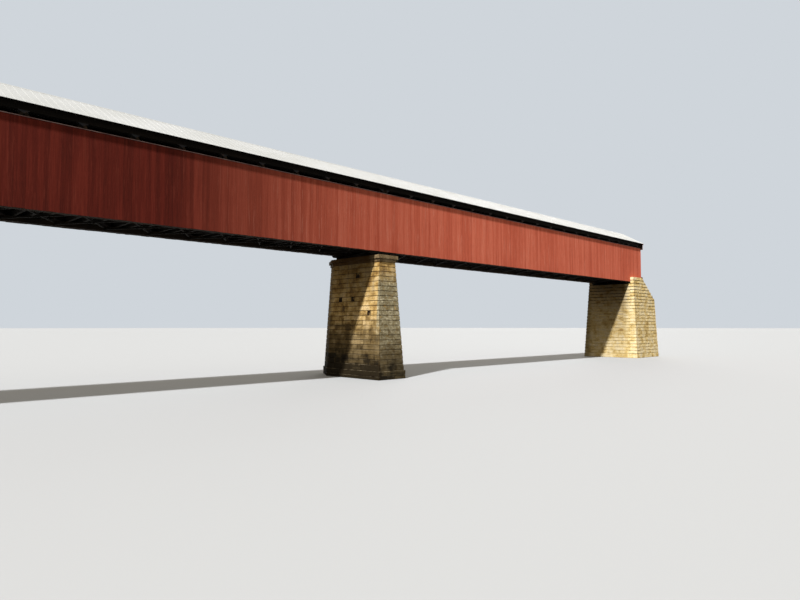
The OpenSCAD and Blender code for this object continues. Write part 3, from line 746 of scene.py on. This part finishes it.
white_sheet, tree, shader = new_finish("pale_painted_steel")
dust = noise(tree, object_place(tree), 3.0, 6.0, 0.65)
coat(tree, shader, ramp(tree, dust, [(0.3, "#b6b6b2"), (0.5, "#bdbdba"), (0.7, "#c3c3c1")]), 0.42)
refinish(white_sheet, "near_roof", "far_roof", "ridge_cap")
for seed, (node, side) in enumerate((("near_roof", -1), ("far_roof", 1))):
    low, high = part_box(node)
    reach_y = max(abs(low.y), abs(high.y))
    eave_top = max(v.co.z for v in nodes[node].data.vertices if abs(v.co.y) > reach_y - SAME_PLACE)
    lean = math.atan2(high.z - eave_top, reach_y)
    length = reach_y / math.cos(lean) - SEAM_SHORT
    count = int((high.x - low.x) / SEAM_PITCH)
    pitch = (high.x - low.x - SEAM_WIDTH) / count
    middle_z = (high.z + eave_top) / 2 - SEAM_SHIFT * math.tan(lean) + SEAM_HEIGHT / 2 / math.cos(lean)
    seams = grow(node + "_seams", board_tree, {
        "First": (low.x + SEAM_WIDTH / 2, side * (reach_y / 2 + SEAM_SHIFT), middle_z),
        "Step": (pitch, 0, 0), "Count": count + 1, "Size": (SEAM_WIDTH, length, SEAM_HEIGHT), "Slack": (0, 0, 0),
        "Turn": (-side * lean, 0, 0), "Seed": 60 + seed, "Finish": white_sheet})
    add_piece(seams, "white_roof_metal")

# Roof boards seen from below: painted shade, near black, and blacker still in the gaps between boards.
painted_shade_soffit, tree, shader = new_finish("roof_boards")
place = object_place(tree)
lines = noise(tree, stretched(tree, place, GRAIN_STRETCH), 1 / GRAIN, 4.0)
across = add(tree, "ShaderNodeSeparateXYZ", {0: place}).outputs["Y"]
in_board = maths(tree, "FLOORED_MODULO", maths(tree, "MULTIPLY", across, 1 / ROOF_BOARD), 1.0)
edge = maths(tree, "LESS_THAN", in_board, ROOF_BOARD_GAP)
colour = ramp(tree, lines, [(0.35, "#070504"), (0.5, "#0d0a07"), (0.66, "#150f0b")])
coat(tree, shader, mix(tree, edge, colour, linear("#070503")), 0.85, 0.12)
refinish(painted_shade_soffit, "near_sheathing", "far_sheathing")


# Studio: a pale floor under the model, a pale background, a key light from the left, a broad soft one
# from the camera's side, a weak one from behind, and even light from all around. The floor gives back
# little light, so the underside stays dark. The camera stands where the photograph was taken.
CAMERA_PLACE = (-3.766, -4.2475, 0.476)
CAMERA_LOOK = (0.7077, 0.7065)
CAMERA_PITCH = math.radians(2.48)
FOCAL_PIXELS = 601
FRAME_PIXELS = 800
SENSOR = 36.0
FLOOR_RADIUS = 150
FLOOR_DROP = 0.0005

camera = bpy.data.cameras.new("camera")
camera.sensor_width = SENSOR
camera.lens = FOCAL_PIXELS / FRAME_PIXELS * SENSOR
camera.clip_start = 0.05
camera.clip_end = 400
camera_object = new_object("camera", camera)
camera_object.location = CAMERA_PLACE
camera_object.rotation_euler = (math.radians(90) + CAMERA_PITCH, 0,
                                math.atan2(CAMERA_LOOK[1], CAMERA_LOOK[0]) - math.radians(90))
scene.camera = camera_object


def seen_directly(tree):
    """1 for rays that see a surface themselves, also in gloss or glass, and 0 for light on its way."""
    rays = add(tree, "ShaderNodeLightPath").outputs
    seen = rays["Is Camera Ray"]
    for kind in ("Is Glossy Ray", "Is Transmission Ray"):
        seen = maths(tree, "MAXIMUM", seen, rays[kind])
    return seen


ground, tree, shader = new_finish("pale_floor")
coat(tree, shader, mix(tree, seen_directly(tree), linear("#5c5c5a"), linear("#b9bbbd")), 0.9, 0.1)
shape = bmesh.new()
bmesh.ops.create_circle(shape, cap_ends=True, segments=64, radius=FLOOR_RADIUS)
mesh = bpy.data.meshes.new("floor")
shape.to_mesh(mesh)
shape.free()
mesh.materials.append(ground)
floor = new_object("floor", mesh)
floor.location = (0, 0, -FLOOR_DROP)

for name, travel, energy, width in (
        ("key", (1.1, 0.375, -1.0), 5.2, 2.5), ("fill", (0.15, 0.93, -0.45), 0.15, 50),
        ("rim", (-0.9, -0.55, -0.25), 0.8, 30)):
    lamp = bpy.data.lights.new(name, "SUN")
    lamp.energy = energy
    lamp.angle = math.radians(width)
    lamp_object = new_object(name, lamp)
    lamp_object.rotation_euler = Vector(travel).to_track_quat("-Z", "Y").to_euler()

world = bpy.data.worlds.new("studio")
scene.world = world
world.use_nodes = True
tree = world.node_tree
tree.nodes.clear()
light = add(tree, "ShaderNodeBackground", {"Color": (1.0, 0.9, 0.74, 1), "Strength": 0.43})
backdrop = add(tree, "ShaderNodeBackground", {"Color": linear("#cfd5db"), "Strength": 1.0})
choice = add(tree, "ShaderNodeMixShader", {0: seen_directly(tree), 1: light.outputs[0], 2: backdrop.outputs[0]})
add(tree, "ShaderNodeOutputWorld", {"Surface": choice.outputs[0]})
scene.view_settings.view_transform = "Standard"

bpy.context.view_layer.update()
